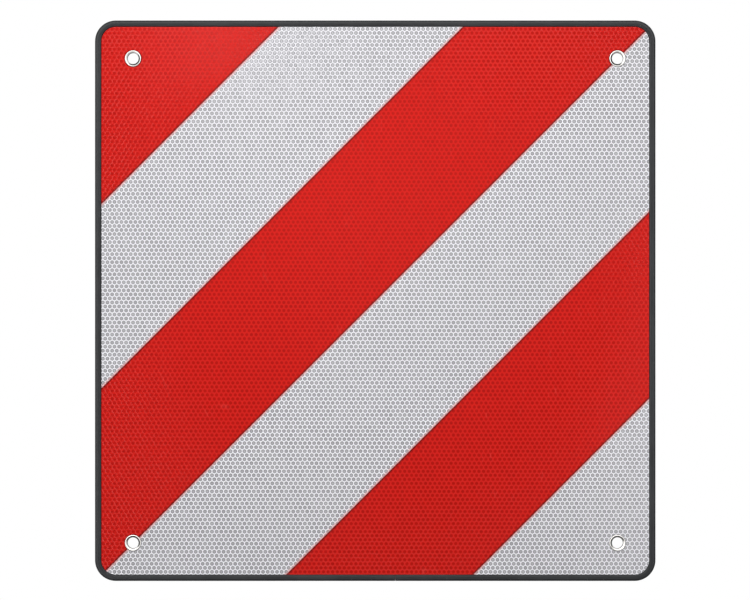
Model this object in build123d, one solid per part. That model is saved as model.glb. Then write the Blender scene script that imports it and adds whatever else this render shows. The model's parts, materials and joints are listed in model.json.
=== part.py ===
from build123d import *
from math import sqrt
import os

# A square sign for a load that overhangs a vehicle: a metal panel with a reflective sheet and diagonal red
# films on its front, a U-section trim around its edge and an eyelet with a washer in each corner.
# X runs to the right, Z up and the front faces -Y. The origin is the centre of the panel's rear face.
# A height is a distance in front of that face. All sizes are in millimetres.

# Panel
panel_side = 500.0
panel_thickness = 1.0
panel_corner_radius = 17.0

# Reflective sheet and red films
sheet_thickness = 0.4
film_thickness = 0.1
film_lap = 0.6  # how far a film reaches past each border of its band
films = ["top_left", "middle", "bottom_right"]  # along the diagonal, a white band after each

# Edge trim
trim_web = 1.5  # outside the panel's edge
trim_lip = 1.2  # thickness of each lip
trim_cover = 4.1  # how far a lip reaches in over the panel
trim_play = 0.2  # between the panel's edge and the bottom of the slot
trim_outer_round = 1.5
trim_tip_round = 0.6
trim_joint_offset = 18.0  # of the butt joint in the bottom edge, right of the middle
trim_joint_gap = 0.4

# Eyelets
eyelet_inset = 32.5  # from the panel's edges to an eyelet's axis
eyelet_bore = 10.0
eyelet_wall = 0.4
eyelet_play = 0.1  # between the barrel and the holes that it passes through
flange_width = 2.35  # of the rolled front flange, from the bore outwards
flange_height = 1.1
clinch_width = 1.6  # of the rolled rear end, from the bore outwards
clinch_height = 0.75

# Washers
washer_rim = 2.5  # from its hole outwards
washer_thickness = 0.4

# Worked out from the sizes above
sheet_height = panel_thickness + sheet_thickness
film_height = sheet_height + film_thickness
band_count = 2 * len(films)
band_width = panel_side * sqrt(2) / band_count
bore_radius = eyelet_bore / 2
barrel_radius = bore_radius + eyelet_wall
hole_radius = barrel_radius + eyelet_play
flange_radius = bore_radius + flange_width
eyelet_reach = panel_side / 2 - eyelet_inset

corners = {
    "top_left": (-eyelet_reach, eyelet_reach),
    "top_right": (eyelet_reach, eyelet_reach),
    "bottom_left": (-eyelet_reach, -eyelet_reach),
    "bottom_right": (eyelet_reach, -eyelet_reach),
}


def panel_outline():
    # The panel's rounded square with a hole for each eyelet.
    outline = RectangleRounded(panel_side, panel_side, panel_corner_radius)
    for place in corners.values():
        outline -= Pos(*place) * Circle(hole_radius)
    return outline


def plate(outline, rear, front):
    # A flat piece of this outline between two heights.
    return extrude(Plane.XZ.offset(rear) * outline, front - rear)


def film_limits(film):
    # Where a red film starts and ends along the diagonal, from the sign's middle towards the bottom right.
    start = (2 * films.index(film) - band_count / 2) * band_width
    return start - film_lap, start + band_width + film_lap


def film_outline(film):
    # The part of the panel's outline that one red film covers.
    start, end = film_limits(film)
    strip = Pos((start + end) / 2, 0) * Rectangle(end - start, panel_side * sqrt(2))
    return panel_outline() & Rot(0, 0, -45) * strip


def seat_height(x, z):
    # An eyelet's flange seats on the red film where its rim reaches one, and on the bare sheet elsewhere.
    along = (x - z) / sqrt(2)
    for film in films:
        start, end = film_limits(film)
        if start - flange_radius < along < end + flange_radius:
            return film_height
    return sheet_height


def trim_section():
    # The trim's U-section: x runs out from the panel's edge and y to the rear.
    depth = trim_cover + trim_play + trim_web
    height = film_height + 2 * trim_lip
    slot_depth = trim_cover + trim_play
    middle = -film_height / 2
    section = Pos(depth / 2 - trim_cover, middle) * Rectangle(depth, height)
    section -= Pos(slot_depth / 2 - trim_cover, middle) * Rectangle(slot_depth, film_height)
    tips = section.vertices().group_by(Axis.X)[0].sort_by(Axis.Y)
    section = fillet([tips[0], tips[-1]], min(trim_tip_round, 0.9 * trim_lip))
    outside = section.vertices().group_by(Axis.X)[-1]
    return fillet(outside, min(trim_outer_round, 0.45 * height))


def edge_trim():
    # The U-section carried along the panel's edge, from one side of the butt joint round to the other.
    half = panel_side / 2
    start = trim_joint_offset + trim_joint_gap / 2
    end = trim_joint_offset - trim_joint_gap / 2
    path = FilletPolyline(
        (start, 0, -half),
        (half, 0, -half),
        (half, 0, half),
        (-half, 0, half),
        (-half, 0, -half),
        (end, 0, -half),
        radius=panel_corner_radius,
    )
    start_plane = Plane(origin=(start, 0, -half), x_dir=(0, 0, -1), z_dir=(1, 0, 0))
    return sweep(start_plane * trim_section(), path=path)


def rolled_end(width, height, base, turn):
    # One end of an eyelet, rolled outwards and back down to its seat: half an ellipse outside and another
    # inside it, one wall apart. x is the radius, base is the seat's y and turn is the way the roll bulges.
    centre = (bore_radius + width / 2, base)
    outside = EllipticalCenterArc(centre, width / 2, height, 180, arc_size=180 * turn)
    inside = EllipticalCenterArc(
        centre, width / 2 - eyelet_wall, height - eyelet_wall, 180, arc_size=180 * turn
    )
    rim = Line(outside @ 1, inside @ 1)
    return [outside, rim, inside]


def eyelet(seat):
    # Turned section: the barrel's wall with a rolled flange in front and a rolled clinch behind the washer.
    front = -seat
    rear = washer_thickness
    flange = rolled_end(flange_width, flange_height, front, 1)
    clinch = rolled_end(clinch_width, clinch_height, rear, -1)
    bore = Line((bore_radius, front), (bore_radius, rear))
    barrel = Line((barrel_radius, front), (barrel_radius, rear))
    return revolve(make_face([*flange, barrel, *clinch, bore]), Axis.Y)


def washer():
    # A flat ring on the panel's rear face.
    ring = Circle(hole_radius + washer_rim) - Circle(hole_radius)
    return plate(ring, -washer_thickness, 0)


pieces = {
    "backing_panel": plate(panel_outline(), 0, panel_thickness),
    "reflective_sheet": plate(panel_outline(), panel_thickness, sheet_height),
    "edge_trim": edge_trim(),
}
for film in films:
    pieces[f"red_film_{film}"] = plate(film_outline(film), sheet_height, film_height)
for name, (x, z) in corners.items():
    pieces[f"eyelet_{name}"] = Pos(x, 0, z) * eyelet(seat_height(x, z))
    pieces[f"eyelet_washer_{name}"] = Pos(x, 0, z) * washer()

os.makedirs("parts", exist_ok=True)
for name, piece in pieces.items():
    export_step(piece, f"parts/{name}.step")
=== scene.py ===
import json
import math

import bmesh
import bpy
import numpy as np
from mathutils import Matrix, Vector


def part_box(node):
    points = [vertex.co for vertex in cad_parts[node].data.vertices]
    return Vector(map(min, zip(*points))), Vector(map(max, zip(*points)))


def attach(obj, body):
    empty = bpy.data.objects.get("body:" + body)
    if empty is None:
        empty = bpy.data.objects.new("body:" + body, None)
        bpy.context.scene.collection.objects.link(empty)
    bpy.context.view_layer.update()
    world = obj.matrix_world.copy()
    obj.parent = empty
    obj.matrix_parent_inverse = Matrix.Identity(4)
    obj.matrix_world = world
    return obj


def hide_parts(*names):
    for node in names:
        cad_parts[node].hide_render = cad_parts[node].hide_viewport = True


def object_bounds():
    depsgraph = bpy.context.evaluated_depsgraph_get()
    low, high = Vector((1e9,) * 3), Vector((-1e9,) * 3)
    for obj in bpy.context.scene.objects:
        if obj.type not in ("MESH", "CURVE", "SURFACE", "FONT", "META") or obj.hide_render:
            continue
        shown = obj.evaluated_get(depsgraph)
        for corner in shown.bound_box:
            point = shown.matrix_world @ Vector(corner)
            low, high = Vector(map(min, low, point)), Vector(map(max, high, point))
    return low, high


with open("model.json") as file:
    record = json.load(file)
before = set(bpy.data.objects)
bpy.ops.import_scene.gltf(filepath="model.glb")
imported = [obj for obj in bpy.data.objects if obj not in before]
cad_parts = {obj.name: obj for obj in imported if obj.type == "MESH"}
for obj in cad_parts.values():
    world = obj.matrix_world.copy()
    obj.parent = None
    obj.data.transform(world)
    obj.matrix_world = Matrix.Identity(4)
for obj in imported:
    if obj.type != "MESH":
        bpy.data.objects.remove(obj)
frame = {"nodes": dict(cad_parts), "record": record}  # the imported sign: metres, X to the right, Z up, the striped front towards -Y
cadLow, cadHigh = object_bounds()
scene = bpy.context.scene
scene.view_settings.view_transform = "Standard"
mm = 0.001
weld = 1e-6  # points closer than this become one
hair = 1e-7  # a point this close to a line lies on it
tiny = 1e-9  # stands for a length of zero in a division

# y grows to the rear, so the front of a piece is its lowest y
_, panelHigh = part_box("backing_panel")
sheetLow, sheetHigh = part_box("reflective_sheet")
filmLow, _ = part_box("red_film_middle")
trimLow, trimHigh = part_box("edge_trim")
halfSide = panelHigh.x
eyeletPlaces = {
    mount["name"].removeprefix("eyelet_bore_"): (mount["pos_m"][0], mount["pos_m"][2])
    for mount in frame["record"]["mounts"]
    if mount["name"].startswith("eyelet_bore_")
}
eyeletCentres = np.array(list(eyeletPlaces.values()))
eyeletX, eyeletZ = eyeletPlaces["top_right"]  # the other three mirror it

panel = {
    "cornerRadius": 17 * mm,
    "holeRadius": 5.5 * mm,
    "holeSplit": 5,  # cuts in each edge of a cell that reaches into a hole
}
cornerRadius = panel["cornerRadius"]
cornerReach = halfSide - cornerRadius  # of the rounded corners' centres from the middle, along x and z
bands = {
    "count": 6,
    "lap": 0.6 * mm,  # a red film reaches this far past each border of its band
}
bandWidth = 2 * halfSide * math.sqrt(2) / bands["count"]
filmStarts = {"top_left": -3, "middle": -1, "bottom_right": 1}  # in bands from the diagonal's middle
diagonal = Vector((1, 0, -1)).normalized()  # from the top left corner to the bottom right
print("frame read, panel side", round(2 * halfSide, 4))


# Meshes

def gridFaces(rows, columns, closeRows=False):
    # quads between neighbouring points of a rows by columns grid whose columns close on themselves
    index = np.arange(rows * columns).reshape(rows, columns)
    here = index if closeRows else index[:-1]
    ahead = np.roll(index, -1, axis=0) if closeRows else index[1:]
    quads = [here, ahead, np.roll(ahead, -1, axis=1), np.roll(here, -1, axis=1)]
    return np.stack(quads, axis=-1).reshape(-1, 4)


def newMesh(name, points, faces):
    # a mesh of rows of x, y and z and lists of their numbers
    mesh = bpy.data.meshes.new(name)
    mesh.from_pydata(points, [], faces)
    return mesh


def vertexPoints(mesh):
    # a mesh's points as rows of x, y and z
    points = np.empty(3 * len(mesh.vertices))
    mesh.vertices.foreach_get("co", points)
    return points.reshape(-1, 3)


def tidyMesh(mesh, sharpDegrees):
    # faces turned outwards, smooth where neighbours meet at less than the sharp angle
    work = bmesh.new()
    work.from_mesh(mesh)
    bmesh.ops.recalc_face_normals(work, faces=work.faces)
    work.to_mesh(mesh)
    work.free()
    mesh.shade_smooth()
    mesh.set_sharp_from_angle(angle=math.radians(sharpDegrees))


def addObject(name, data):
    # an object at the origin, linked to the scene
    made = bpy.data.objects.new(name, data)
    scene.collection.objects.link(made)
    return made


def addPiece(name, mesh, material, slot, *nodes):
    # an object that rides on the sign and stands for its CAD nodes
    mesh.materials.append(material)
    piece = addObject(name, mesh)
    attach(piece, "root")
    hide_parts(*nodes)
    print(name, len(mesh.polygons), "faces")


# Shader nodes

flatOnly = (1.0, 0.0, 1.0)  # a vector times this keeps its x and z


def put(tree, kind, inputs=(), **settings):
    # one node: its settings, then each input set to a value or linked to a socket
    made = tree.nodes.new("ShaderNode" + kind)
    for key, value in settings.items():
        setattr(made, key, value)
    for key, value in dict(inputs).items():
        if isinstance(value, bpy.types.NodeSocket):
            tree.links.new(value, made.inputs[key])
        else:
            made.inputs[key].default_value = value
    return made


def maths(tree, operation, *values):
    # the outcome of one operation on values
    return put(tree, "Math", enumerate(values), operation=operation).outputs[0]


def vectors(tree, operation, *values):
    # the outcome of one operation on vectors, a value for a length or a dot product
    made = put(tree, "VectorMath", enumerate(values), operation=operation)
    return made.outputs["Value" if operation in ("LENGTH", "DOT_PRODUCT") else "Vector"]


def scaled(tree, vector, factor):
    # a vector or a colour times a value
    return put(tree, "VectorMath", {0: vector, "Scale": factor}, operation="SCALE").outputs["Vector"]


def ease(tree, value, low, high, start=0.0, end=1.0):
    # smooth step of a value from low to high, put out between start and end
    limits = {"Value": value, "From Min": low, "From Max": high, "To Min": start, "To Max": end}
    return put(tree, "MapRange", limits, interpolation_type="SMOOTHSTEP").outputs["Result"]


def mixValue(tree, factor, first, second):
    # the first value where the factor is 0, the second where it is 1
    return put(tree, "Mix", {0: factor, 2: first, 3: second}).outputs[0]


def mixColour(tree, factor, first, second):
    # the same for colours
    return put(tree, "Mix", {0: factor, 6: first, 7: second}, data_type="RGBA").outputs[2]


def tint(tree, mask, share, colour, other):
    # a colour with this share of another mixed in where the mask is 1
    return mixColour(tree, maths(tree, "MULTIPLY", mask, share), colour, other)


def noise(tree, position, scale, detail=2.0, roughness=0.5):
    # cloudy values about one half
    inputs = {"Vector": position, "Scale": scale, "Detail": detail, "Roughness": roughness}
    return put(tree, "TexNoise", inputs).outputs["Fac"]


def raised(tree, height, relief):
    # the normal of a surface that a height lifts, by the relief's strength and distance
    return put(tree, "Bump", {"Height": height, **relief}).outputs[0]


def newGroup(name, inputs, outputs):
    # a node group: a position and these inputs, and its outputs, floats apart from the position
    group = bpy.data.node_groups.new(name, "ShaderNodeTree")
    group.interface.new_socket("Position", in_out="INPUT", socket_type="NodeSocketVector")
    for way, labels in (("INPUT", inputs), ("OUTPUT", outputs)):
        for label in labels:
            group.interface.new_socket(label, in_out=way, socket_type="NodeSocketFloat")
    source = group.nodes.new("NodeGroupInput")
    sink = group.nodes.new("NodeGroupOutput")
    return group, source.outputs, sink.inputs


def placed(tree, group, place, values=()):
    # the outputs of a shared effect at a place, with a material's own values
    return put(tree, "Group", {"Position": place, **dict(values)}, node_tree=group).outputs


def newMaterial(name, fixed):
    # a material, its tree, the inputs of its Principled shader with the fixed values set, and the place
    material = bpy.data.materials.new(name)
    material.use_nodes = True
    tree = material.node_tree
    shader = tree.nodes["Principled BSDF"].inputs
    for label, value in fixed.items():
        shader[label].default_value = value
    place = put(tree, "TexCoord").outputs["Object"]
    return material, tree, shader, place


def feed(tree, inputs, sockets):
    # links sockets to the inputs of these names
    for label, socket in sockets.items():
        tree.links.new(socket, inputs[label])


# Shared effects

honeycomb = {
    "pitch": 4.17 * mm,  # from cell to cell along a row
    "wall": 0.80 * mm,  # width of the sealed line between two cells
    "seamDrop": 0.045 * mm,  # the sealed lines lie this far behind the crowns
    "ringDrop": 0.010 * mm,  # and the foot of a crown this far
    "offset": (1.40 * mm, 0.0, -1.55 * mm),  # of a cell's centre from the middle of the sign
    "rimShare": 0.4,  # width of the shade inside a cell's edge, as a share of half the pitch
    "sameCorner": 0.01,  # corners are told apart in steps of this share of the pitch
    "sharpDegrees": 2.5,
}
pitch = honeycomb["pitch"]
rowStep = pitch * math.sqrt(3) / 2
handling = {
    "strokes": ((23, 0.05), (-61, 0.07)),  # turn in degrees and stretch of two sets of scratches
    "strokeWidth": 0.010,
    "breaks": (0.56, 0.68),  # scratches come in as their noise rises between these
    "clouds": (0.35, 0.7),  # and haze as its own does
    "bare": 0.94,  # share of the cells that have no speck
    "speck": (0.05, 0.16),  # a speck fades out between these distances from its centre
}


def honeycombGroup():
    # Distance from the nearest cell centre, of two interleaved rectangular grids, as a share of half the
    # pitch: the hexagon's own measure mixed with a round one. Wall is high on the sealed lines, Rim along
    # the inside of a cell's edge, and Tone is one random value for each cell.
    group, source, sink = newGroup(
        "honeycombCells", ["Wall Share", "Softness", "Roundness"], ["Wall", "Rim", "Tone"]
    )
    period = (pitch, 1.0, 2 * rowStep)
    moved = vectors(group, "SUBTRACT", source["Position"], honeycomb["offset"])
    flat = vectors(group, "MULTIPLY", moved, flatOnly)
    counted = vectors(group, "DIVIDE", flat, period)
    half = (0.5, 0.0, 0.5)
    grids = []
    for start in (vectors(group, "ADD", counted, half), counted):
        part = vectors(group, "SUBTRACT", vectors(group, "FRACTION", start), half)
        grids.append(vectors(group, "MULTIPLY", part, period))
    straight, shifted = grids
    nearer = maths(
        group, "LESS_THAN", vectors(group, "LENGTH", straight), vectors(group, "LENGTH", shifted)
    )
    local = put(group, "Mix", {0: nearer, 4: shifted, 5: straight}, data_type="VECTOR").outputs[1]
    centre = vectors(group, "SUBTRACT", flat, local)
    cell = vectors(group, "ADD", centre, (pitch / 4, 0.5, rowStep / 2))
    cell = vectors(group, "SNAP", cell, (pitch / 2, 1.0, rowStep))
    tone = put(group, "TexWhiteNoise", {"Vector": scaled(group, cell, 1 / mm)}, noise_dimensions="3D")
    across = vectors(group, "ABSOLUTE", local)
    level = vectors(group, "DOT_PRODUCT", across, (1.0, 0.0, 0.0))
    slant = vectors(group, "DOT_PRODUCT", across, (0.5, 0.0, math.sqrt(3) / 2))
    sixSided = maths(group, "MAXIMUM", level, slant)
    measure = mixValue(group, source["Roundness"], sixSided, vectors(group, "LENGTH", local))
    measure = maths(group, "DIVIDE", measure, pitch / 2)
    edge = maths(group, "SUBTRACT", 1.0, source["Wall Share"])
    wall = ease(group, measure, maths(group, "SUBTRACT", edge, source["Softness"]),
                maths(group, "ADD", edge, source["Softness"]))
    rim = ease(group, measure, maths(group, "SUBTRACT", edge, honeycomb["rimShare"]), edge)
    rim = maths(group, "MULTIPLY", rim, maths(group, "SUBTRACT", 1.0, wall))
    feed(group, sink, {"Wall": wall, "Rim": rim, "Tone": tone.outputs["Value"]})
    return group


def marksGroup():
    # Marks of handling. Scratch: the thin borders of two stretched Voronoi patterns, broken up by noise.
    # Haze: slow noise. Speck: small dots in a few of the cells of a fine Voronoi pattern.
    kinds = ["Scratch", "Haze", "Speck"]  # as inputs, their scales
    group, source, sink = newGroup("handlingMarks", kinds, kinds)
    position = source["Position"]
    lines = []
    for turn, stretch in handling["strokes"]:
        turned = put(group, "Mapping", {
            "Vector": position,
            "Rotation": (0, math.radians(turn), 0),
            "Scale": (1.0, 1.0, stretch),
        }).outputs[0]
        border = put(group, "TexVoronoi", {"Vector": turned, "Scale": source["Scratch"]},
                     feature="DISTANCE_TO_EDGE").outputs["Distance"]
        lines.append(ease(group, border, 0.0, handling["strokeWidth"], 1.0, 0.0))
    broken = noise(group, position, source["Scratch"], detail=3.0)
    broken = ease(group, broken, *handling["breaks"])
    scratch = maths(group, "MULTIPLY", maths(group, "MAXIMUM", *lines), broken)
    haze = noise(group, position, source["Haze"], detail=4.0, roughness=0.6)
    haze = ease(group, haze, *handling["clouds"])
    dots = put(group, "TexVoronoi", {"Vector": position, "Scale": source["Speck"]}).outputs
    lot = put(group, "SeparateColor", {0: dots["Color"]}).outputs[0]
    chosen = maths(group, "GREATER_THAN", lot, handling["bare"])
    speck = maths(group, "MULTIPLY", ease(group, dots["Distance"], *handling["speck"], 1.0, 0.0), chosen)
    feed(group, sink, {"Scratch": scratch, "Haze": haze, "Speck": speck})
    return group


def bordersGroup():
    # Distance down the diagonal from where a red film starts, repeating every two bands. Inside is how far
    # a point of the film lies from its nearer cut edge, Beside how far a point of the sheet lies from it.
    group, source, sink = newGroup("bandBorders", [], ["Inside", "Beside"])
    along = vectors(group, "DOT_PRODUCT", source["Position"], diagonal)
    fromStart = maths(group, "ADD", along, bandWidth + bands["lap"])
    fromStart = maths(group, "FLOORED_MODULO", fromStart, 2 * bandWidth)
    pastEnd = maths(group, "SUBTRACT", fromStart, bandWidth + 2 * bands["lap"])
    toNext = maths(group, "SUBTRACT", 2 * bandWidth, fromStart)
    inside = maths(group, "MINIMUM", fromStart, maths(group, "MULTIPLY", pastEnd, -1.0))
    beside = maths(group, "MINIMUM", pastEnd, toNext)
    feed(group, sink, {"Inside": inside, "Beside": beside})
    return group


cellEffect = honeycombGroup()
markEffect = marksGroup()
borderEffect = bordersGroup()
print("shared effects built")


# Honeycomb sheet and red films

def holeDistance(points):
    # how far points lie from the nearest eyelet's axis
    return np.linalg.norm(points[..., None, :] - eyeletCentres, axis=-1).min(axis=-1)


def outlineDistance(points):
    # how far points lie outside the panel's rounded square or inside an eyelet hole, whichever is more
    past = np.abs(points) - cornerReach
    beyond = np.linalg.norm(np.maximum(past, 0), axis=-1)
    edge = beyond + np.minimum(past.max(axis=-1), 0) - cornerRadius
    return np.maximum(edge, panel["holeRadius"] - holeDistance(points))


def keptBetween(points, anchor, least, most):
    # points moved straight to or from an anchor, until they lie between two distances from it
    away = points - anchor
    length = np.maximum(np.linalg.norm(away, axis=-1, keepdims=True), tiny)
    return anchor + away * (np.clip(length, least, most) / length)


def drawnToOutline(points):
    # points outside the rounded square or inside a hole move straight to its line
    points = keptBetween(points, np.clip(points, -cornerReach, cornerReach), 0, cornerRadius)
    for centre in eyeletCentres:
        points = keptBetween(points, centre, panel["holeRadius"], np.inf)
    return points


def openHoles(mesh):
    # Cells that reach into a hole are split into fine triangles, those wholly inside it are taken out, and
    # the points that are left beyond the outline are drawn to it.
    inHole = holeDistance(vertexPoints(mesh)[:, ::2]) < panel["holeRadius"]
    work = bmesh.new()
    work.from_mesh(mesh)
    work.verts.ensure_lookup_table()
    reached = dict.fromkeys(
        face for index in np.flatnonzero(inHole) for face in work.verts[index].link_faces
    )
    split = bmesh.ops.poke(work, faces=list(reached))["faces"]
    edges = dict.fromkeys(edge for face in split for edge in face.edges)
    bmesh.ops.subdivide_edges(work, edges=list(edges), cuts=panel["holeSplit"], use_grid_fill=True)
    work.to_mesh(mesh)
    work.verts.index_update()
    within = outlineDistance(vertexPoints(mesh)[:, ::2]) > -hair
    lost = [face for face in work.faces if all(within[vert.index] for vert in face.verts)]
    bmesh.ops.delete(work, geom=lost, context="FACES")
    work.to_mesh(mesh)
    work.free()
    points = vertexPoints(mesh)
    points[:, ::2] = drawnToOutline(points[:, ::2])
    mesh.vertices.foreach_set("co", points.ravel())


def alongDiagonal(points):
    # distance down the diagonal, from the middle of the sign
    return points @ np.array([diagonal.x, diagonal.z])


def filmLimits(film):
    # where a film starts and ends on the diagonal: its band and a lap at each border
    start = filmStarts[film] * bandWidth
    return start - bands["lap"], start + bandWidth + bands["lap"]


def uncovered(corners):
    # cells of the sheet that show, at least in part, beside the red films
    along = alongDiagonal(corners)
    hidden = np.zeros(len(corners), bool)
    for film in filmStarts:
        start, end = filmLimits(film)
        hidden |= (along.min(axis=1) > start) & (along.max(axis=1) < end)
    return ~hidden


def latticeCells():
    # centres of hexagons in rows, every other row half a pitch along, and the corners about a centre
    reach = int(halfSide / rowStep) + 2
    column, row = np.meshgrid(np.arange(-reach, reach + 1), np.arange(-reach, reach + 1))
    centres = np.column_stack([((column + 0.5 * (row % 2)) * pitch).ravel(), (row * rowStep).ravel()])
    angles = np.radians(np.arange(30, 390, 60))
    hexagon = pitch / math.sqrt(3) * np.column_stack([np.cos(angles), np.sin(angles)])
    return centres + honeycomb["offset"][::2], hexagon


def closeBehind(mesh, rear, span):
    # the face cut at a span's ends on the diagonal, then its border carried straight back to a flat rear
    work = bmesh.new()
    work.from_mesh(mesh)
    bmesh.ops.remove_doubles(work, verts=work.verts, dist=weld)
    for limit, keepPast in zip(span, (True, False)):
        bmesh.ops.bisect_plane(
            work, geom=work.verts[:] + work.edges[:] + work.faces[:], dist=hair,
            plane_co=diagonal * limit, plane_no=diagonal, clear_inner=keepPast, clear_outer=not keepPast,
        )
    border = [edge for edge in work.edges if edge.is_boundary]
    made = bmesh.ops.extrude_edge_only(work, edges=border)["geom"]
    rearPoints = [item for item in made if isinstance(item, bmesh.types.BMVert)]
    bmesh.ops.scale(work, vec=flatOnly, verts=rearPoints, space=Matrix.Translation((0, -rear, 0)))
    rearEdges = [item for item in made if isinstance(item, bmesh.types.BMEdge) and item.is_boundary]
    bmesh.ops.triangle_fill(work, edges=rearEdges, use_beauty=True)
    work.to_mesh(mesh)
    work.free()


def honeycombMesh(name, front, rear, span=()):
    # Hexagons on a lattice, a film's within its span of the diagonal. Where a cell shows, a crown stands on
    # a ring inside the six corners, which lie deeper. Cells under a film are plain, and so are those at the
    # outline and the holes, which are drawn to that line.
    centres, hexagon = latticeCells()
    corners = centres[:, None, :] + hexagon
    outside = outlineDistance(corners) > 0
    along = alongDiagonal(corners)
    start, end = span or (along.min(), along.max())
    within = (along.max(axis=1) > start) & (along.min(axis=1) < end)
    kept = ~outside.all(axis=1) & within
    centres, corners, outside = centres[kept], corners[kept], outside[kept]
    crowned = ~outside.any(axis=1)
    if not span:
        crowned &= uncovered(corners)
    keys = np.round(corners.reshape(-1, 2) / (honeycomb["sameCorner"] * pitch)).astype(int)
    _, first, inverse = np.unique(keys, axis=0, return_index=True, return_inverse=True)
    shared = corners.reshape(-1, 2)[first]
    cornerIndex = inverse.reshape(-1, 6)
    crowns = centres[crowned]
    rings = (crowns[:, None, :] + hexagon * (1 - honeycomb["wall"] / pitch)).reshape(-1, 2)
    flat = np.concatenate([shared, rings, crowns])
    drops = [honeycomb["seamDrop"], honeycomb["ringDrop"], 0.0]
    depth = np.repeat(drops, [len(shared), len(rings), len(crowns)])
    ringIndex = len(shared) + np.arange(len(rings)).reshape(-1, 6)
    crownIndex = np.repeat(len(shared) + len(rings) + np.arange(len(crowns)), 6).reshape(-1, 6)
    edgeIndex = cornerIndex[crowned]
    nextEdge, nextRing = np.roll(edgeIndex, -1, axis=1), np.roll(ringIndex, -1, axis=1)
    slopes = np.stack([edgeIndex, nextEdge, nextRing, ringIndex], axis=-1).reshape(-1, 4)
    tops = np.stack([ringIndex, nextRing, crownIndex], axis=-1).reshape(-1, 3)
    faces = slopes.tolist() + tops.tolist() + cornerIndex[~crowned].tolist()
    mesh = newMesh(name, np.column_stack([flat[:, 0], front + depth, flat[:, 1]]), faces)
    openHoles(mesh)
    closeBehind(mesh, rear, span)
    tidyMesh(mesh, honeycomb["sharpDegrees"])
    return mesh


whiteSheet = {
    "wallColour": (0.94, 0.932, 0.98, 1),
    "cellColour": (0.73, 0.723, 0.762, 1),
    "cellShade": (0.216, 0.214, 0.226, 1),  # along the inside of a cell's edge
    "hazeColour": (0.66, 0.65, 0.64, 1),
    "scratchColour": (0.90, 0.90, 0.90, 1),
    "speckColour": (0.35, 0.34, 0.33, 1),
    "paintedBorderLightAndShade": (0.90, 0.56, 0.57, 1),  # painted light: the red film's glow beside its cut edge
    "uneven": 0.09,  # a cell's tone differs by this share at most
    "paintedEyeletShade": 0.25,  # painted shade round an eyelet's rim, where its contact shadow falls
    "metal": (0.40, 0.0),  # of the cells and of the sealed lines
    "gloss": 0.05,
    "cells": {"Wall Share": 0.24, "Softness": 0.07, "Roundness": 0.35},
}
redFilm = {
    "wallColour": (0.655, 0.0137, 0.0092, 1),
    "cellColour": (0.70, 0.0122, 0.0078, 1),
    "cellShade": (0.90, 0.0142, 0.0090, 1),
    "hazeColour": (0.52, 0.020, 0.015, 1),
    "scratchColour": (0.80, 0.15, 0.13, 1),
    "speckColour": (0.30, 0.015, 0.012, 1),
    "paintedBorderLightAndShade": (0.27, 0.006, 0.005, 1),  # painted shadow along the film's cut edge
    "uneven": 0.05,
    "paintedEyeletShade": 0.65,
    "metal": (0.38, 0.15),
    "gloss": 0.02,
    "cells": {"Wall Share": 0.29, "Softness": 0.19, "Roundness": 0.45},
}
clearCover = {  # over the sheet and the films alike
    "coat": 0.45,
    "coatRoughness": 0.05,
    "roughness": (0.10, 0.40),  # of the cells and of the sealed lines
    "border": (0.66 * mm, 2.2 * mm),  # the painted light and shadow at a border fade out between these distances from it
    "paintedEyeletShadeRing": (7.4 * mm, 8.3 * mm),  # and the painted shade round an eyelet, from its axis
    "haze": 0.05,
    "scratch": 0.10,
    "speck": 0.25,
    "hazeRoughness": 0.04,
    "peelScale": 700.0,
    "peel": 0.25,
    "marks": {"Scratch": 55.0, "Haze": 9.0, "Speck": 170.0},
    "relief": {"Strength": 0.15, "Distance": 0.03 * mm},
}


def reflectiveMaterial(name, look, side):
    # Half metallic cells between pale sealed lines, under a clear glossy cover: each cell has a shade along
    # its edge and a tone of its own, the sheet takes a painted glow of red light beside a film's cut edge
    # and the film a painted shadow along it, and painted shade darkens the colour round the eyelets. Haze,
    # fine scratches and specks lie over all.
    material, tree, shader, place = newMaterial(name, {
        "Coat Weight": clearCover["coat"],
        "Coat Roughness": clearCover["coatRoughness"],
        "Specular IOR Level": look["gloss"],
    })
    cells = placed(tree, cellEffect, place, look["cells"])
    marks = placed(tree, markEffect, place, clearCover["marks"])
    toBorder = placed(tree, borderEffect, place)[side]
    inside = mixColour(tree, cells["Rim"], look["cellColour"], look["cellShade"])
    uneven = ease(tree, cells["Tone"], 0.0, 1.0, 1 - look["uneven"], 1 + look["uneven"])
    inside = scaled(tree, inside, uneven)
    colour = mixColour(tree, cells["Wall"], inside, look["wallColour"])
    # painted light and shadow: beside a cut edge the sheet takes a glow of the film's red light, and the
    # film a shadow along its edge
    border = ease(tree, toBorder, *clearCover["border"], 1.0, 0.0)
    colour = mixColour(tree, border, colour, look["paintedBorderLightAndShade"])
    # painted shade: the colour darkens in a ring round each eyelet's rim, where its contact shadow falls
    quarter = vectors(tree, "MULTIPLY", vectors(tree, "ABSOLUTE", place), flatOnly)
    toAxis = vectors(tree, "LENGTH", vectors(tree, "SUBTRACT", quarter, (eyeletX, 0.0, eyeletZ)))
    colour = scaled(tree, colour, ease(tree, toAxis, *clearCover["paintedEyeletShadeRing"], 1 - look["paintedEyeletShade"], 1.0))
    for mark in ("haze", "scratch", "speck"):
        colour = tint(tree, marks[mark.capitalize()], clearCover[mark], colour, look[mark + "Colour"])
    metal = ease(tree, cells["Wall"], 0.0, 1.0, *look["metal"])
    rough = ease(tree, cells["Wall"], 0.0, 1.0, *clearCover["roughness"])
    rough = maths(tree, "MULTIPLY_ADD", marks["Haze"], clearCover["hazeRoughness"], rough)
    peel = noise(tree, place, clearCover["peelScale"])
    height = maths(tree, "SUBTRACT", maths(tree, "MULTIPLY", peel, clearCover["peel"]), cells["Wall"])
    relief = raised(tree, height, clearCover["relief"])
    feed(tree, shader, {"Base Color": colour, "Metallic": metal, "Roughness": rough, "Normal": relief})
    return material


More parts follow.
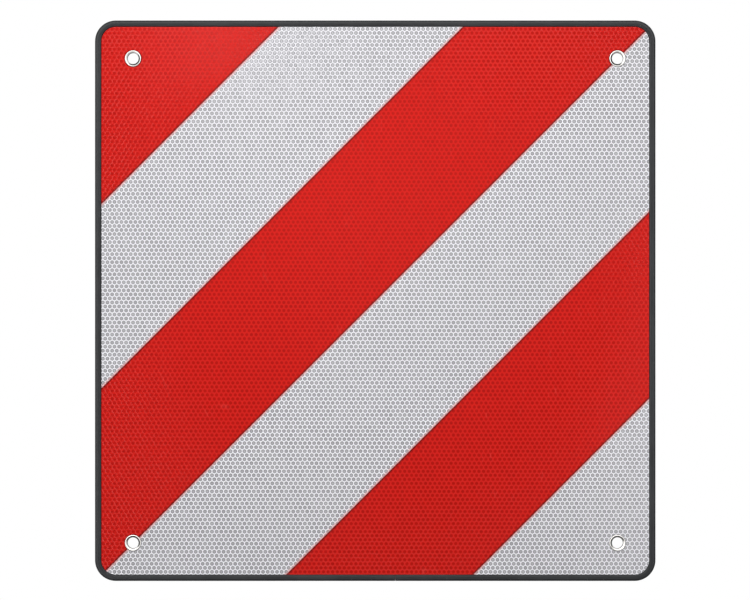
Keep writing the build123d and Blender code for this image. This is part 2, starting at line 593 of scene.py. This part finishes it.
sheetMesh = honeycombMesh("honeycombSheet", sheetLow.y, sheetHigh.y)
whiteMaterial = reflectiveMaterial("whiteHoneycombSheet", whiteSheet, "Beside")
addPiece("honeycombSheet", sheetMesh, whiteMaterial, "white_sheet", "reflective_sheet")
redMaterial = reflectiveMaterial("redTranslucentFilm", redFilm, "Inside")
for film in filmStarts:
    node = "red_film_" + film
    low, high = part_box(node)
    filmMesh = honeycombMesh(node, low.y, high.y, filmLimits(film))
    addPiece("honeycombFilm_" + film, filmMesh, redMaterial, "red_film", node)
print("reflective sheet and films done")


# Edge trim

edgeTrim = {
    "cover": 4.1 * mm,  # how far a lip reaches in over the panel
    "play": 0.2 * mm,  # between the panel's edge and the bottom of the slot
    "outerRound": 1.5 * mm,
    "tipRound": 1.0 * mm,
    "slotRound": 0.08 * mm,
    "roundSteps": 7,
    "sectionStep": 0.7 * mm,  # the section's points lie no further apart
    "lipSag": 0.42 * mm,  # the lips' faces fall away this much towards their sides
    "sideSteps": 40,
    "bendSteps": 18,
    "jointOffset": 18.0 * mm,  # of the butt joint, right of the middle of the bottom edge
    "jointGap": 0.10 * mm,
    "endRows": (0.0, 0.12 * mm, 0.35 * mm, 0.8 * mm),  # of points, from a cut end
    "endClear": 2.0 * mm,  # no other rows come this close to it
    "endLength": 0.5 * mm,  # over which a cut end is drawn in
    "endRound": 0.18 * mm,  # by this much
    "wave": 0.05 * mm,  # unevenness of the lips' inner edge
    "waves": ((23, 1.0, 0.7), (41, 0.7, 2.1), (67, 0.4, 4.0)),  # number round the sign, size and phase
    "sharpDegrees": 50,
    "gloss": 0.40,
    "colour": (0.017, 0.0185, 0.021, 1),
    "bloomColour": (0.055, 0.058, 0.064, 1),
    "dustColour": (0.30, 0.29, 0.28, 1),
    "lineScale": (14.0, 4200.0, 1.0),  # of the extruder's lines, along the trim and round its section
    "bloom": (0.3, 0.7, 0.10, 0.34),  # limits of the lines' noise, then the bloom at each
    "roughness": (0.25, 0.75, 0.27, 0.38),  # likewise
    "scratch": 0.35,
    "dust": 0.45,
    "hazeRoughness": 0.08,
    "grainScale": 5200.0,
    "grain": 0.4,
    "marks": {"Scratch": 45.0, "Haze": 26.0, "Speck": 420.0},
    "relief": {"Strength": 0.35, "Distance": 0.04 * mm},
}
straightLength = 2 * cornerReach  # of the panel's edge between two corners
sideLength = straightLength + cornerRadius * math.pi / 2  # with one corner


def roundedLoop(corners, radii, steps):
    # a closed right-angled outline with a quarter circle of so many steps at each corner
    before = np.roll(corners, 1, axis=0) - corners
    after = np.roll(corners, -1, axis=0) - corners
    before /= np.linalg.norm(before, axis=1, keepdims=True)
    after /= np.linalg.norm(after, axis=1, keepdims=True)
    turn = np.linspace(0, math.pi / 2, steps)[None, :, None]
    size = radii[:, None, None]
    centre = corners[:, None, :] + size * (before + after)[:, None, :]
    arcs = centre - size * (after[:, None, :] * np.cos(turn) + before[:, None, :] * np.sin(turn))
    return arcs.reshape(-1, 2)


def divided(loop, length):
    # the same closed outline with points no further apart than this length
    ahead = np.roll(loop, -1, axis=0)
    counts = np.maximum(np.ceil(np.linalg.norm(ahead - loop, axis=1) / length), 1).astype(int)
    step = np.concatenate([np.arange(count) / count for count in counts])[:, None]
    return np.repeat(loop, counts, axis=0) * (1 - step) + np.repeat(ahead, counts, axis=0) * step


def edgePath(distance):
    # places and outward directions along the panel's rounded edge, from the middle of the bottom to the
    # right: a straight run and a quarter circle, turned by a right angle for each side in turn
    quarter, part = np.divmod(distance + cornerReach, sideLength)
    bend = np.maximum(part - straightLength, 0) / cornerRadius
    x = np.minimum(part, straightLength) - cornerReach + cornerRadius * np.sin(bend)
    z = -cornerReach - cornerRadius * np.cos(bend)
    turn = quarter * math.pi / 2
    cosine, sine = np.cos(turn), np.sin(turn)
    places = np.column_stack([x * cosine - z * sine, x * sine + z * cosine])
    outward = np.column_stack([np.sin(turn + bend), -np.cos(turn + bend)])
    return places, outward


def trimSection():
    # The U-section's outline: first column out from the panel's edge, second column to the rear. The share
    # rises from 0 in the slot to 1 on the lips' faces, which sag with the squared way from their middle.
    cover, play = edgeTrim["cover"], edgeTrim["play"]
    out, front, rear = trimHigh.x - halfSide, trimLow.y, trimHigh.y
    corners = np.array([
        (-cover, panelHigh.y), (-cover, rear), (out, rear), (out, front),
        (-cover, front), (-cover, filmLow.y), (play, filmLow.y), (play, panelHigh.y),
    ])
    slot, tip, outer = edgeTrim["slotRound"], edgeTrim["tipRound"], edgeTrim["outerRound"]
    radii = np.array([slot, tip, outer, outer, tip, slot, slot, slot])
    section = divided(roundedLoop(corners, radii, edgeTrim["roundSteps"]), edgeTrim["sectionStep"])
    middle = (front + rear) / 2
    fromMiddle = section[:, 1] - middle
    share = np.clip((np.abs(fromMiddle) - (panelHigh.y - middle)) / (rear - panelHigh.y), 0, 1)
    across = (section[:, 0] - (out - cover) / 2) / ((out + cover) / 2)
    section[:, 1] -= np.sign(fromMiddle) * share * edgeTrim["lipSag"] * across**2
    return section, share


def trimRows():
    # distances of the rows of points along the panel's edge, from one side of the butt joint to the other,
    # closer in the corners and at the two ends
    onSide = np.concatenate([
        np.linspace(0, straightLength, edgeTrim["sideSteps"], endpoint=False),
        np.linspace(straightLength, sideLength, edgeTrim["bendSteps"], endpoint=False),
    ])
    start = edgeTrim["jointOffset"] + edgeTrim["jointGap"] / 2
    end = 4 * sideLength + edgeTrim["jointOffset"] - edgeTrim["jointGap"] / 2
    sides = np.arange(5) * sideLength  # the bottom comes round again
    distance = np.add.outer(sides, onSide).ravel() - cornerReach
    clear = edgeTrim["endClear"]
    distance = distance[(distance > start + clear) & (distance < end - clear)]
    ends = np.array(edgeTrim["endRows"])
    return np.concatenate([start + ends, distance, end - ends[::-1]])


def trimMesh():
    # the section carried along the panel's edge: the lips' inner edges wander by a sum of sines, and the
    # two ends are drawn in as a soft rubber's cut ends are
    section, share = trimSection()
    distance = trimRows()
    places, outward = edgePath(distance)
    toEnd = np.minimum(distance - distance[0], distance[-1] - distance)
    drawIn = edgeTrim["endRound"] * np.maximum(1 - toEnd / edgeTrim["endLength"], 0) ** 2
    turns = 2 * math.pi * distance / (4 * sideLength)
    wander = sum(size * np.sin(number * turns + phase) for number, size, phase in edgeTrim["waves"])
    lip = np.clip(-section[:, 0] / edgeTrim["cover"], 0, 1) * share
    outer = np.clip(section[:, 0] / (trimHigh.x - halfSide), 0, 1)
    across = section[None, :, 0] + edgeTrim["wave"] * np.outer(wander, lip)
    across -= np.outer(drawIn, outer)
    middle = (trimLow.y + trimHigh.y) / 2
    depth = section[None, :, 1] - np.outer(drawIn, np.sign(section[:, 1] - middle) * share)
    x = places[:, 0, None] + across * outward[:, 0, None]
    z = places[:, 1, None] + across * outward[:, 1, None]
    rows, columns = x.shape
    quads = gridFaces(rows, columns).tolist()
    caps = [list(range(columns)), list(range((rows - 1) * columns, rows * columns))]
    mesh = newMesh("rubberTrim", np.stack([x, depth, z], axis=-1).reshape(-1, 3), quads + caps)
    girth = np.linalg.norm(np.diff(section, axis=0, prepend=section[:1]), axis=1).cumsum()
    run = [np.repeat(distance, columns), np.tile(girth, rows), np.zeros(rows * columns)]
    run = np.stack(run, axis=-1).ravel()
    mesh.attributes.new("run", "FLOAT_VECTOR", "POINT").data.foreach_set("vector", run)
    tidyMesh(mesh, edgeTrim["sharpDegrees"])
    return mesh


def trimMaterial():
    # satin rubber: fine lines drawn along its length by the extruder, a pale bloom in slow patches and dust
    fixed = {"Specular IOR Level": edgeTrim["gloss"]}
    material, tree, shader, place = newMaterial("satinTrimRubber", fixed)
    run = put(tree, "Attribute", attribute_name="run").outputs["Vector"]
    run = vectors(tree, "MULTIPLY", run, edgeTrim["lineScale"])
    lines = noise(tree, run, 1.0, detail=3.0, roughness=0.6)
    marks = placed(tree, markEffect, place, edgeTrim["marks"])
    bloom = maths(tree, "MULTIPLY", marks["Haze"], ease(tree, lines, *edgeTrim["bloom"]))
    colour = mixColour(tree, bloom, edgeTrim["colour"], edgeTrim["bloomColour"])
    colour = tint(tree, marks["Scratch"], edgeTrim["scratch"], colour, edgeTrim["bloomColour"])
    colour = tint(tree, marks["Speck"], edgeTrim["dust"], colour, edgeTrim["dustColour"])
    rough = ease(tree, lines, *edgeTrim["roughness"])
    rough = maths(tree, "MULTIPLY_ADD", marks["Haze"], edgeTrim["hazeRoughness"], rough)
    grain = noise(tree, place, edgeTrim["grainScale"])
    height = maths(tree, "MULTIPLY_ADD", grain, edgeTrim["grain"], lines)
    relief = raised(tree, height, edgeTrim["relief"])
    feed(tree, shader, {"Base Color": colour, "Roughness": rough, "Normal": relief})
    return material


addPiece("rubberTrim", trimMesh(), trimMaterial(), "trim_rubber", "edge_trim")


# Eyelets and washers

eyelet = {
    "bore": 5.0 * mm,
    "wall": 0.4 * mm,
    "flangeWidth": 2.35 * mm,
    "flangeCrest": 1.60 * mm,  # from the bore out to the crest
    "flangeHeight": 1.1 * mm,
    "crestWall": 0.64 * mm,  # thickness under the crest
    "dishSlope": math.tan(math.radians(23)),  # from the crest down to the bore's edge
    "outerSlope": math.tan(math.radians(17)),  # from the crest down to the rim
    "crestRound": 0.12 * mm,
    "boreRound": 0.30 * mm,
    "rimRound": 0.30 * mm,
    "clinchWidth": 1.6 * mm,
    "clinchHeight": 0.75 * mm,
    "roundSteps": 9,
    "slopeSteps": 26,
    "insideSteps": 25,
    "clinchSteps": 17,
    "colour": (0.76, 0.745, 0.72, 1),
    "dullColour": (0.60, 0.585, 0.56, 1),
    "roughness": 0.07,
}
washer = {
    "hole": 5.5 * mm,
    "rim": 2.5 * mm,
    "edgeRound": 0.12 * mm,
    "roundSteps": 5,
    "sectionStep": 0.5 * mm,
    "colour": (0.72, 0.72, 0.715, 1),
    "dullColour": (0.50, 0.50, 0.495, 1),
    "roughness": 0.22,
}
lathe = {"segments": 96, "sharpDegrees": 40}
plating = {
    "paintedBoreShadeColour": (0.060, 0.055, 0.050, 1),  # painted shade on the bore's wall
    "paintedBoreShade": (0.2, 0.8),  # it comes in as the throat value rises between these
    "paintedBoreShadeRoughness": 0.45,
    "haze": 0.30,
    "speck": 0.6,
    "hazeRoughness": 0.10,
    "scratchRoughness": 0.15,
    "marks": {"Scratch": 320.0, "Haze": 150.0, "Speck": 900.0},
    "relief": {"Strength": 0.10, "Distance": 0.01 * mm},
}


def latheMesh(name, centre, profile):
    # a closed profile of radius and y, turned about the axis through the centre
    angle = np.linspace(0, 2 * math.pi, lathe["segments"], endpoint=False)[:, None]
    radius, y = profile[None, :, 0], profile[None, :, 1]
    x = centre[0] + radius * np.cos(angle)
    z = centre[1] + radius * np.sin(angle)
    points = np.stack([x, np.broadcast_to(y, x.shape), z], axis=-1).reshape(-1, 3)
    mesh = newMesh(name, points, gridFaces(*x.shape, closeRows=True).tolist())
    tidyMesh(mesh, lathe["sharpDegrees"])
    return mesh


def quarterEllipses(middle, inner, outer, height, steps):
    # radius and height over two quarter ellipses, from the inner foot over the crest to the outer foot
    turn = np.linspace(math.pi, 0, steps)
    reach = np.where(np.cos(turn) < 0, inner, outer)
    return np.column_stack([middle + reach * np.cos(turn), height * np.sin(turn)])


def flangeProfile():
    # Radius and height of the front flange: two even slopes that meet in a softly rounded crest, less a
    # quarter circle at the bore's edge and another at the rim, and back inside as quarter ellipses.
    bore, width, crest = eyelet["bore"], eyelet["flangeWidth"], eyelet["flangeCrest"]
    edge, rim, soft = eyelet["boreRound"], eyelet["rimRound"], eyelet["crestRound"]
    height, wall = eyelet["flangeHeight"], eyelet["wall"]
    turn = np.linspace(0, math.pi / 2, eyelet["roundSteps"])
    slopes = np.linspace(edge, width - rim, eyelet["slopeSteps"])[1:-1]
    out = np.concatenate([edge * (1 - np.cos(turn)), slopes, width - rim * (1 - np.cos(turn[::-1]))])
    slope = np.where(out < crest, eyelet["dishSlope"], eyelet["outerSlope"])
    fall = slope * (np.sqrt((crest - out) ** 2 + soft**2) - soft)
    for size, past in ((edge, edge - out), (rim, out - width + rim)):
        fall += size - np.sqrt(np.maximum(size**2 - np.maximum(past, 0) ** 2, 0))
    outside = np.column_stack([bore + out, height - fall])
    under, steps = height - eyelet["crestWall"], eyelet["insideSteps"]
    inside = quarterEllipses(bore + crest, crest - wall, width - crest - wall, under, steps)
    return np.concatenate([[(bore, 0.0)], outside, [(bore + width, 0.0)], inside[::-1]])


def eyeletMesh(name, centre, front, washerRear):
    # the dished flange in front, the barrel's wall, and the rolled clinch behind the washer: the throat
    # value rises from 0 at the edge of the bore to 1 on its wall
    flange = flangeProfile() * (1, -1) + (0, front + eyelet["flangeHeight"])
    half, wall, height = eyelet["clinchWidth"] / 2, eyelet["wall"], eyelet["clinchHeight"]
    middle, steps = eyelet["bore"] + half, eyelet["clinchSteps"]
    outside = quarterEllipses(middle, half, half, height, steps)
    inside = quarterEllipses(middle, half - wall, half - wall, height - wall, steps)
    clinch = np.concatenate([inside, outside[::-1]]) + (0, washerRear)
    profile = np.concatenate([flange, clinch])
    mesh = latheMesh(name, centre, profile)
    throat = np.clip(1 - (profile[:, 0] - eyelet["bore"]) / eyelet["boreRound"], 0, 1)
    throat = np.tile(throat, lathe["segments"])
    mesh.attributes.new("throat", "FLOAT", "POINT").data.foreach_set("value", throat)
    return mesh


def washerMesh(name, centre, front, rear):
    # a flat ring with softened edges
    inside, outside = washer["hole"], washer["hole"] + washer["rim"]
    corners = np.array([(inside, front), (outside, front), (outside, rear), (inside, rear)])
    profile = roundedLoop(corners, np.full(4, washer["edgeRound"]), washer["roundSteps"])
    return latheMesh(name, centre, divided(profile, washer["sectionStep"]))


def platedMaterial(name, look):
    # bright plating with fine scratches and duller, rougher patches, and painted shade on the bore's wall
    material, tree, shader, place = newMaterial(name, {})
    marks = placed(tree, markEffect, place, plating["marks"])
    hazy = maths(tree, "MULTIPLY", marks["Haze"], plating["haze"])
    specked = maths(tree, "MULTIPLY", marks["Speck"], plating["speck"])
    colour = mixColour(tree, maths(tree, "MAXIMUM", hazy, specked), look["colour"], look["dullColour"])
    throat = put(tree, "Attribute", attribute_name="throat").outputs["Fac"]
    # painted shade: the bore's wall is darkened, and made rougher and not metallic, where it lies in shadow
    paintedBoreShade = ease(tree, throat, *plating["paintedBoreShade"])
    colour = mixColour(tree, paintedBoreShade, colour, plating["paintedBoreShadeColour"])
    metal = maths(tree, "SUBTRACT", 1.0, paintedBoreShade)
    rough = maths(tree, "MULTIPLY_ADD", paintedBoreShade, plating["paintedBoreShadeRoughness"], look["roughness"])
    rough = maths(tree, "MULTIPLY_ADD", marks["Haze"], plating["hazeRoughness"], rough)
    rough = maths(tree, "MULTIPLY_ADD", marks["Scratch"], plating["scratchRoughness"], rough)
    relief = raised(tree, marks["Scratch"], plating["relief"])
    feed(tree, shader, {"Base Color": colour, "Metallic": metal, "Roughness": rough, "Normal": relief})
    return material


nickel = platedMaterial("polishedNickel", eyelet)
brightSteel = platedMaterial("brightWasherPlate", washer)
for corner, centre in eyeletPlaces.items():
    washerNode = "eyelet_washer_" + corner
    washerLow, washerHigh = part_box(washerNode)
    eyeletLow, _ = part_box("eyelet_" + corner)
    ring = washerMesh("washer_" + corner, centre, washerLow.y, washerHigh.y)
    addPiece("washer_" + corner, ring, brightSteel, "washer_plating", washerNode)
    rolled = eyeletMesh("rolledEyelet_" + corner, centre, eyeletLow.y, washerHigh.y)
    addPiece("rolledEyelet_" + corner, rolled, nickel, "eyelet_plating", "eyelet_" + corner)
print("eyelets and washers done")


# Backing panel

backing = {
    "colour": (0.78, 0.785, 0.80, 1),
    "grainColour": (0.72, 0.725, 0.74, 1),
    "smudgeColour": (0.58, 0.58, 0.585, 1),
    "fineScale": (7.0, 1.0, 1500.0),  # of the rolling grain, which runs along x
    "broadScale": (2.0, 1.0, 420.0),
    "grain": (0.35, 0.65),  # its colour comes in as its noise rises between these
    "roughness": (0.3, 0.7, 0.36, 0.42),  # limits of that noise, then the roughness at each
    "smudge": 0.12,
    "speck": 0.5,
    "smudgeRoughness": 0.05,
    "scratchDepth": 0.6,
    "marks": {"Scratch": 24.0, "Haze": 6.0, "Speck": 240.0},
    "relief": {"Strength": 0.15, "Distance": 0.02 * mm},
}


def panelMaterial():
    # mill finish: the mean of fine and broad rolling grain, with cloudy smudges and scratches across it
    material, tree, shader, place = newMaterial("millFinishAluminium", {"Metallic": 1.0})
    fine = vectors(tree, "MULTIPLY", place, backing["fineScale"])
    fine = noise(tree, fine, 1.0, detail=4.0, roughness=0.65)
    broad = vectors(tree, "MULTIPLY", place, backing["broadScale"])
    broad = noise(tree, broad, 1.0, detail=3.0)
    grain = maths(tree, "MULTIPLY", maths(tree, "ADD", fine, broad), 0.5)
    marks = placed(tree, markEffect, place, backing["marks"])
    grained = ease(tree, grain, *backing["grain"])
    colour = mixColour(tree, grained, backing["colour"], backing["grainColour"])
    colour = tint(tree, marks["Haze"], backing["smudge"], colour, backing["smudgeColour"])
    colour = tint(tree, marks["Speck"], backing["speck"], colour, backing["smudgeColour"])
    rough = ease(tree, grain, *backing["roughness"])
    rough = maths(tree, "MULTIPLY_ADD", marks["Haze"], backing["smudgeRoughness"], rough)
    height = maths(tree, "MULTIPLY_ADD", marks["Scratch"], -backing["scratchDepth"], grain)
    relief = raised(tree, height, backing["relief"])
    feed(tree, shader, {"Base Color": colour, "Roughness": rough, "Normal": relief})
    return material


panelObject = frame["nodes"]["backing_panel"]
panelObject.data.materials.clear()
panelObject.data.materials.append(panelMaterial())
print("backing panel dressed")


# Camera

photo = {
    "size": (750, 600),
    "signWidth": 560.3,  # pixels
    "signCentre": (375.25, 300.7),
    "lens": 85.0,
    "sensor": 36.0,
}
towardsSign = (math.radians(90), 0, 0)  # turns a camera or a lamp to look along +Y

# straight in front, at the distance where the trim's width fills its pixels of the photograph
perPixel = (trimHigh.x - trimLow.x) / photo["signWidth"]
cameraDistance = perPixel * photo["size"][0] * photo["lens"] / photo["sensor"]
cameraX = (photo["size"][0] / 2 - photo["signCentre"][0]) * perPixel
cameraZ = (photo["signCentre"][1] - photo["size"][1] / 2) * perPixel
camera = addObject("photoCamera", bpy.data.cameras.new("photoCamera"))
camera.data.lens = photo["lens"]
camera.data.sensor_width = photo["sensor"]
camera.location = (cameraX, (trimLow.y + trimHigh.y) / 2 - cameraDistance, cameraZ)
camera.rotation_euler = towardsSign
scene.camera = camera


# Stage and light

stage = {
    "floorDrop": 0.30,  # of the floor below the sign
    "floorRadius": 1.15,
    "floorFade": 0.45,  # the floor turns into the white background from here to its rim
    "floorRings": 24,
    "floorSpokes": 96,
    "floorMiddle": 0.04,  # the innermost ring's radius, as a share of the floor's
    "floorSharpDegrees": 40,
    "floorRoughness": 0.8,
    "floorColour": (0.90, 0.90, 0.90, 1),
    "floorShade": (0.10, 0.10, 0.10, 1),  # what the sign gets back from the floor
    "floorGlow": (0.64, 0.64, 0.64, 1),  # lifts it to the background's white for the camera
    "umbrellas": 2.28,  # white umbrellas round the camera
    "umbrellaRims": 1.25,  # and their dimmer rims
    "umbrellaTilt": (-0.45, 0.0, 0.85),  # they are brighter at the top left
    "besideCamera": 0.23,  # the dark gap between them, right behind the camera
    "besideTilt": (0.0, 0.0, 0.40),  # that gap is brighter at the top
    "rimEdge": (0.64, 0.72),  # cosines of the angle from straight in front, where the rims come in
    "umbrellaEdge": (0.80, 0.88),  # then the umbrellas
    "gapEdge": (0.948, 0.966),  # and then the gap
    "lit": 0.18,  # the gap has a lit patch above the camera
    "litCentre": (-0.005, 0.0, 0.08),
    "litFade": (0.02, 0.18),  # the patch fades out between these distances from its centre
    "sides": 0.025,  # the dark room to the sides
    "behind": (0.0, 1.0, 0.5),  # the white behind the sign reaches forward over its top
    "behindEdge": (0.30, 0.60),
}
# two softboxes in the gap, which the sign mirrors: each is bright past a straight edge and fades in and
# out along it
glares = {
    "topLeft": {
        "past": (-0.330, 0.0, 0.944), "edge": (0.141, 0.148),
        "along": (0.944, 0.0, 0.330), "fadeIn": (-0.10, -0.03), "fadeOut": (-0.01, 0.035), "level": 0.80,
    },
    "right": {
        "past": (0.980, 0.0, -0.202), "edge": (0.133, 0.140),
        "along": (0.202, 0.0, 0.980), "fadeIn": (-0.20, -0.06), "fadeOut": (0.06, 0.10), "level": 0.25,
    },
}
topLight = {"centre": (-0.04, -0.60, 0.22), "size": (0.40, 0.28), "radiance": 2.0}

# an area light that faces the sign's plane, its power being its radiance times its area and pi
lamp = addObject("topLight", bpy.data.lights.new("topLight", "AREA"))
lamp.data.shape = "RECTANGLE"
lamp.data.size, lamp.data.size_y = topLight["size"]
lamp.data.energy = topLight["radiance"] * math.pi * lamp.data.size * lamp.data.size_y
lamp.location = topLight["centre"]
lamp.rotation_euler = towardsSign
lamp.visible_camera = False
lamp.visible_glossy = False  # the sign would mirror it


def addFloor():
    # a disc whose rim fades out, rings of points about its middle
    rings, spokes = stage["floorRings"], stage["floorSpokes"]
    radius = stage["floorRadius"] * np.linspace(stage["floorMiddle"], 1, rings)[:, None]
    angle = np.linspace(0, 2 * math.pi, spokes, endpoint=False)[None, :]
    level = np.full((rings, spokes), cadLow.z - stage["floorDrop"])
    points = np.stack([radius * np.cos(angle), radius * np.sin(angle), level], axis=-1).reshape(-1, 3)
    mesh = newMesh("paleFloor", points, gridFaces(rings, spokes).tolist() + [list(range(spokes))])
    tidyMesh(mesh, stage["floorSharpDegrees"])
    material, tree, shader, place = newMaterial(
        "paleFloor", {"Roughness": stage["floorRoughness"], "Emission Strength": 1.0}
    )
    onCamera = put(tree, "LightPath").outputs["Is Camera Ray"]
    colour = mixColour(tree, onCamera, stage["floorShade"], stage["floorColour"])
    glow = mixColour(tree, onCamera, (0, 0, 0, 1), stage["floorGlow"])
    outward = vectors(tree, "LENGTH", vectors(tree, "MULTIPLY", place, (1.0, 1.0, 0.0)))
    alpha = ease(tree, outward, stage["floorFade"], stage["floorRadius"], 1.0, 0.0)
    feed(tree, shader, {"Base Color": colour, "Emission Color": glow, "Alpha": alpha})
    mesh.materials.append(material)
    floor = addObject("paleFloor", mesh)


def dressWorld():
    # White for the camera. For all other light: white behind the sign, a dark room to the sides, and in
    # front a ring of white umbrellas round the dark gap where the camera stands, with two softboxes in it.
    world = bpy.data.worlds.new("studio")
    world.use_nodes = True
    scene.world = world
    tree = world.node_tree
    sky = put(tree, "TexCoord").outputs["Generated"]
    forward = vectors(tree, "DOT_PRODUCT", sky, (0.0, -1.0, 0.0))
    rims = ease(tree, forward, *stage["rimEdge"], stage["sides"], stage["umbrellaRims"])
    ring = mixValue(tree, ease(tree, forward, *stage["umbrellaEdge"]), rims, stage["umbrellas"])
    tilted = maths(tree, "ADD", vectors(tree, "DOT_PRODUCT", sky, stage["umbrellaTilt"]), 1.0)
    ring = maths(tree, "MULTIPLY", ring, tilted)
    gap = maths(tree, "ADD", vectors(tree, "DOT_PRODUCT", sky, stage["besideTilt"]), stage["besideCamera"])
    flat = vectors(tree, "MULTIPLY", sky, flatOnly)
    fromPatch = vectors(tree, "LENGTH", vectors(tree, "SUBTRACT", flat, stage["litCentre"]))
    gap = maths(tree, "ADD", gap, ease(tree, fromPatch, *stage["litFade"], stage["lit"], 0.0))
    for glare in glares.values():
        past = vectors(tree, "DOT_PRODUCT", sky, glare["past"])
        along = vectors(tree, "DOT_PRODUCT", sky, glare["along"])
        box = ease(tree, past, *glare["edge"], 0.0, glare["level"])
        box = maths(tree, "MULTIPLY", box, ease(tree, along, *glare["fadeIn"]))
        box = maths(tree, "MULTIPLY", box, ease(tree, along, *glare["fadeOut"], 1.0, 0.0))
        gap = maths(tree, "ADD", gap, box)
    front = mixValue(tree, ease(tree, forward, *stage["gapEdge"]), ring, gap)
    behind = ease(tree, vectors(tree, "DOT_PRODUCT", sky, stage["behind"]), *stage["behindEdge"])
    level = maths(tree, "ADD", front, behind)
    onCamera = put(tree, "LightPath").outputs["Is Camera Ray"]
    level = mixValue(tree, onCamera, level, 1.0)
    tree.links.new(level, tree.nodes["Background"].inputs["Strength"])
    tree.nodes["Background"].inputs["Color"].default_value = (1, 1, 1, 1)


addFloor()
dressWorld()
print("camera, floor and lights set")
